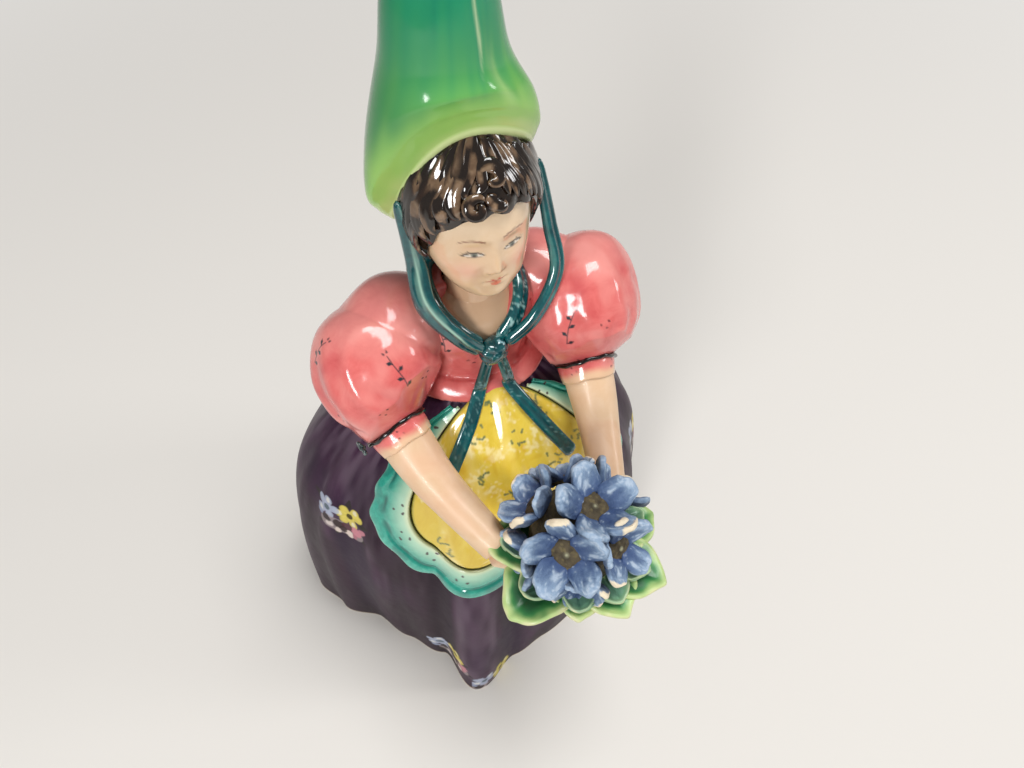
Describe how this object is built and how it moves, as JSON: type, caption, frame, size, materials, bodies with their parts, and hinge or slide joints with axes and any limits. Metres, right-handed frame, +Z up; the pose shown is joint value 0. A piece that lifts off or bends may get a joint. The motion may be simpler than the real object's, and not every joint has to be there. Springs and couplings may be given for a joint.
{
  "type": "ceramic lady figurine",
  "caption": "Glazed ceramic figurine of a standing lady in a wide purple skirt, yellow apron, pink blouse and tall green pointed hat, holding out a posy of blue flowers.",
  "frame": {"origin": "middle of the outline on the surface that the figurine stands on", "axes": "+Z up, -Y the way the lady faces, +X to her left"},
  "size_m": [0.1154, 0.1246, 0.2373],
  "materials": {
    "purple_glaze": "glossy deep purple glaze, mauve on the ridges, small painted flower sprays",
    "pink_glaze": "glossy rose pink glaze with small dark painted sprigs",
    "yellow_glaze": "glossy yellow glaze with cream mottling",
    "frill_glaze": "glossy teal glaze that pales to mint at the inner side",
    "ribbon_glaze": "glossy deep teal glaze with light streaks",
    "skin_glaze": "glossy cream skin glaze with a pink blush",
    "hair_glaze": "glossy dark brown brush strokes over tan",
    "hat_glaze": "very glossy green glaze, deep teal green at the tip to yellow green at the brim",
    "petal_matt": "matt blue petals with a white wash and cream edges",
    "leaf_glaze": "satin green leaves with yellow green edges",
    "moss_matt": "matt olive brown clay between the flowers"
  },
  "bodies": {
    "root": {"skirt": "purple_glaze", "apron_panel": "yellow_glaze", "apron_frill": "frill_glaze", "bodice": "pink_glaze", "head": "skin_glaze", "hair": "hair_glaze", "hat": "hat_glaze", "right_sleeve": "pink_glaze", "right_sleeve_band": "ribbon_glaze", "right_cuff": "pink_glaze", "right_arm": "skin_glaze", "left_sleeve": "pink_glaze", "left_sleeve_band": "ribbon_glaze", "left_cuff": "pink_glaze", "left_arm": "skin_glaze", "right_sleeve_bow": "ribbon_glaze", "ribbon_knot": "ribbon_glaze", "scarf": "ribbon_glaze", "right_ribbon": "ribbon_glaze", "right_ribbon_tail": "ribbon_glaze", "left_ribbon": "ribbon_glaze", "left_ribbon_tail": "ribbon_glaze", "posy_core": "moss_matt", "flower_1": "petal_matt", "flower_2": "petal_matt", "flower_3": "petal_matt", "flower_4": "petal_matt", "flower_5": "petal_matt", "flower_6": "petal_matt", "flower_7": "petal_matt", "flower_8": "petal_matt", "leaf_1": "leaf_glaze", "leaf_2": "leaf_glaze", "leaf_3": "leaf_glaze", "leaf_4": "leaf_glaze", "leaf_5": "leaf_glaze", "leaf_6": "leaf_glaze", "leaf_7": "leaf_glaze", "leaf_8": "leaf_glaze", "right_hand": "skin_glaze", "left_hand": "skin_glaze"}
  },
  "joints": []
}
